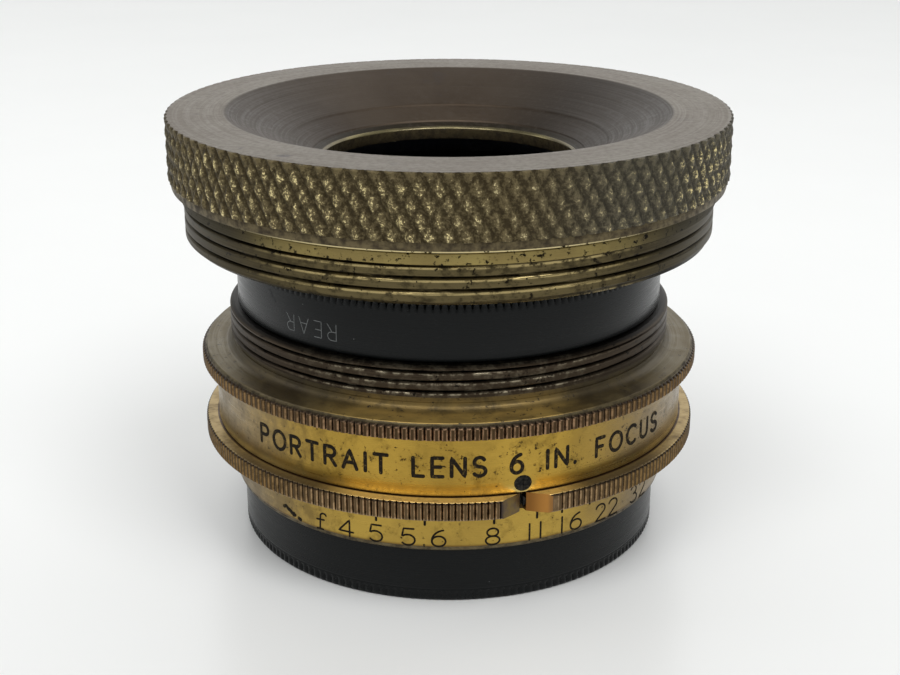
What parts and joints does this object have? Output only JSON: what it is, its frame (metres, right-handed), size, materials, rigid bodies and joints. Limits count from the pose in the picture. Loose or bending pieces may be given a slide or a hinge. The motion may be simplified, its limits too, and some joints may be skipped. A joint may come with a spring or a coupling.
{
  "type": "brass barrel portrait lens",
  "caption": "Short brass barrel portrait lens with black screw-in glass cells, a knurled iris ring over an engraved stop scale, and a dished threaded adapter ring.",
  "frame": {"origin": "on the optical axis at the rim that the lens stands on, the front face of the front cell", "axes": "+Z along the optical axis from the front cell to the back cell and adapter; -Y towards the side that carries the stop scale"},
  "size_m": [0.062, 0.062, 0.0482],
  "materials": {
    "lacquered_brass": "aged lacquer over turned brass",
    "aged_brass": "brown-patinated brass, bright where worn",
    "iris_brass": "coppery lacquered brass with a fine knurl",
    "black_enamel": "satin black enamel on brass",
    "blackened_metal": "chemically blackened, matt",
    "blued_steel": "thin blued sheet",
    "screw_steel": "darkened steel",
    "optical_glass": "polished, faint violet bloom"
  },
  "bodies": {
    "barrel": {"barrel_body": "lacquered_brass", "iris_cup": "blackened_metal", "iris_retaining_ring": "blackened_metal", "stop_screw": "screw_steel"},
    "iris_control": {"iris_control_ring": "iris_brass", "iris_drive_screw": "screw_steel", "iris_cam_ring": "blackened_metal"},
    "blade_01": {"iris_blade_01": "blued_steel"},
    "blade_02": {"iris_blade_02": "blued_steel"},
    "blade_03": {"iris_blade_03": "blued_steel"},
    "blade_04": {"iris_blade_04": "blued_steel"},
    "blade_05": {"iris_blade_05": "blued_steel"},
    "blade_06": {"iris_blade_06": "blued_steel"},
    "blade_07": {"iris_blade_07": "blued_steel"},
    "blade_08": {"iris_blade_08": "blued_steel"},
    "blade_09": {"iris_blade_09": "blued_steel"},
    "blade_10": {"iris_blade_10": "blued_steel"},
    "blade_11": {"iris_blade_11": "blued_steel"},
    "blade_12": {"iris_blade_12": "blued_steel"},
    "back_optics": {"back_glass_outer": "optical_glass", "back_glass_inner": "optical_glass"},
    "back_cell": {"back_cell_housing": "black_enamel", "back_spacer_ring": "blackened_metal", "back_retaining_ring": "blackened_metal"},
    "adapter": {"adapter_ring": "aged_brass"},
    "front_optics": {"front_glass_outer": "optical_glass", "front_glass_inner": "optical_glass"},
    "front_cell": {"front_cell_housing": "black_enamel", "front_spacer_ring": "blackened_metal", "front_retaining_ring": "blackened_metal"}
  },
  "joints": [
    {"name": "iris_turn", "type": "hinge", "parent": "barrel", "child": "iris_control", "pos_m": [0, 0, 0.0125], "axis": [0, 0, 1], "range_deg": [-33.7, 36.7]},
    {"name": "blade_01_swing", "type": "hinge", "parent": "barrel", "child": "blade_01", "pos_m": [0.02035, 0.00142, 0.01342], "axis": [0, 0, 1], "range_deg": [-17.75, 19.35]},
    {"name": "blade_02_swing", "type": "hinge", "parent": "barrel", "child": "blade_02", "pos_m": [0.01691, 0.01141, 0.01362], "axis": [0, 0, 1], "range_deg": [-17.75, 19.35]},
    {"name": "blade_03_swing", "type": "hinge", "parent": "barrel", "child": "blade_03", "pos_m": [0.00894, 0.01834, 0.01382], "axis": [0, 0, 1], "range_deg": [-17.75, 19.35]},
    {"name": "blade_04_swing", "type": "hinge", "parent": "barrel", "child": "blade_04", "pos_m": [-0.00142, 0.02035, 0.01402], "axis": [0, 0, 1], "range_deg": [-17.75, 19.35]},
    {"name": "blade_05_swing", "type": "hinge", "parent": "barrel", "child": "blade_05", "pos_m": [-0.01141, 0.01691, 0.01422], "axis": [0, 0, 1], "range_deg": [-17.75, 19.35]},
    {"name": "blade_06_swing", "type": "hinge", "parent": "barrel", "child": "blade_06", "pos_m": [-0.01834, 0.00894, 0.01442], "axis": [0, 0, 1], "range_deg": [-17.75, 19.35]},
    {"name": "blade_07_swing", "type": "hinge", "parent": "barrel", "child": "blade_07", "pos_m": [-0.02035, -0.00142, 0.01462], "axis": [0, 0, 1], "range_deg": [-17.75, 19.35]},
    {"name": "blade_08_swing", "type": "hinge", "parent": "barrel", "child": "blade_08", "pos_m": [-0.01691, -0.01141, 0.01482], "axis": [0, 0, 1], "range_deg": [-17.75, 19.35]},
    {"name": "blade_09_swing", "type": "hinge", "parent": "barrel", "child": "blade_09", "pos_m": [-0.00894, -0.01834, 0.01502], "axis": [0, 0, 1], "range_deg": [-17.75, 19.35]},
    {"name": "blade_10_swing", "type": "hinge", "parent": "barrel", "child": "blade_10", "pos_m": [0.00142, -0.02035, 0.01522], "axis": [0, 0, 1], "range_deg": [-17.75, 19.35]},
    {"name": "blade_11_swing", "type": "hinge", "parent": "barrel", "child": "blade_11", "pos_m": [0.01141, -0.01691, 0.01542], "axis": [0, 0, 1], "range_deg": [-17.75, 19.35]},
    {"name": "blade_12_swing", "type": "hinge", "parent": "barrel", "child": "blade_12", "pos_m": [0.01834, -0.00894, 0.01562], "axis": [0, 0, 1], "range_deg": [-17.75, 19.35]},
    {"name": "back_cell_lift", "type": "slide", "parent": "barrel", "child": "back_optics", "axis": [0, 0, 1], "range_m": [0, 0.0053]},
    {"name": "back_cell_screw", "type": "hinge", "parent": "back_optics", "child": "back_cell", "pos_m": [0, 0, 0.0295], "axis": [0, 0, 1], "range_deg": [0, 1800]},
    {"name": "adapter_lift_off", "type": "slide", "parent": "back_cell", "child": "adapter", "axis": [0, 0, 1], "range_m": [0, 0.02]},
    {"name": "front_cell_drop", "type": "slide", "parent": "barrel", "child": "front_optics", "axis": [0, 0, -1], "range_m": [0, 0.0043]},
    {"name": "front_cell_screw", "type": "hinge", "parent": "front_optics", "child": "front_cell", "pos_m": [0, 0, 0.003], "axis": [0, 0, -1], "range_deg": [0, 1440]}
  ],
  "couplings": [
    {"joint": "blade_01_swing", "follows": "iris_turn", "ratio": 0.525},
    {"joint": "blade_02_swing", "follows": "iris_turn", "ratio": 0.525},
    {"joint": "blade_03_swing", "follows": "iris_turn", "ratio": 0.525},
    {"joint": "blade_04_swing", "follows": "iris_turn", "ratio": 0.525},
    {"joint": "blade_05_swing", "follows": "iris_turn", "ratio": 0.525},
    {"joint": "blade_06_swing", "follows": "iris_turn", "ratio": 0.525},
    {"joint": "blade_07_swing", "follows": "iris_turn", "ratio": 0.525},
    {"joint": "blade_08_swing", "follows": "iris_turn", "ratio": 0.525},
    {"joint": "blade_09_swing", "follows": "iris_turn", "ratio": 0.525},
    {"joint": "blade_10_swing", "follows": "iris_turn", "ratio": 0.525},
    {"joint": "blade_11_swing", "follows": "iris_turn", "ratio": 0.525},
    {"joint": "blade_12_swing", "follows": "iris_turn", "ratio": 0.525},
    {"joint": "back_cell_lift", "follows": "back_cell_screw", "m_per_rad": 0.00016844},
    {"joint": "front_cell_drop", "follows": "front_cell_screw", "m_per_rad": 0.00016844}
  ]
}
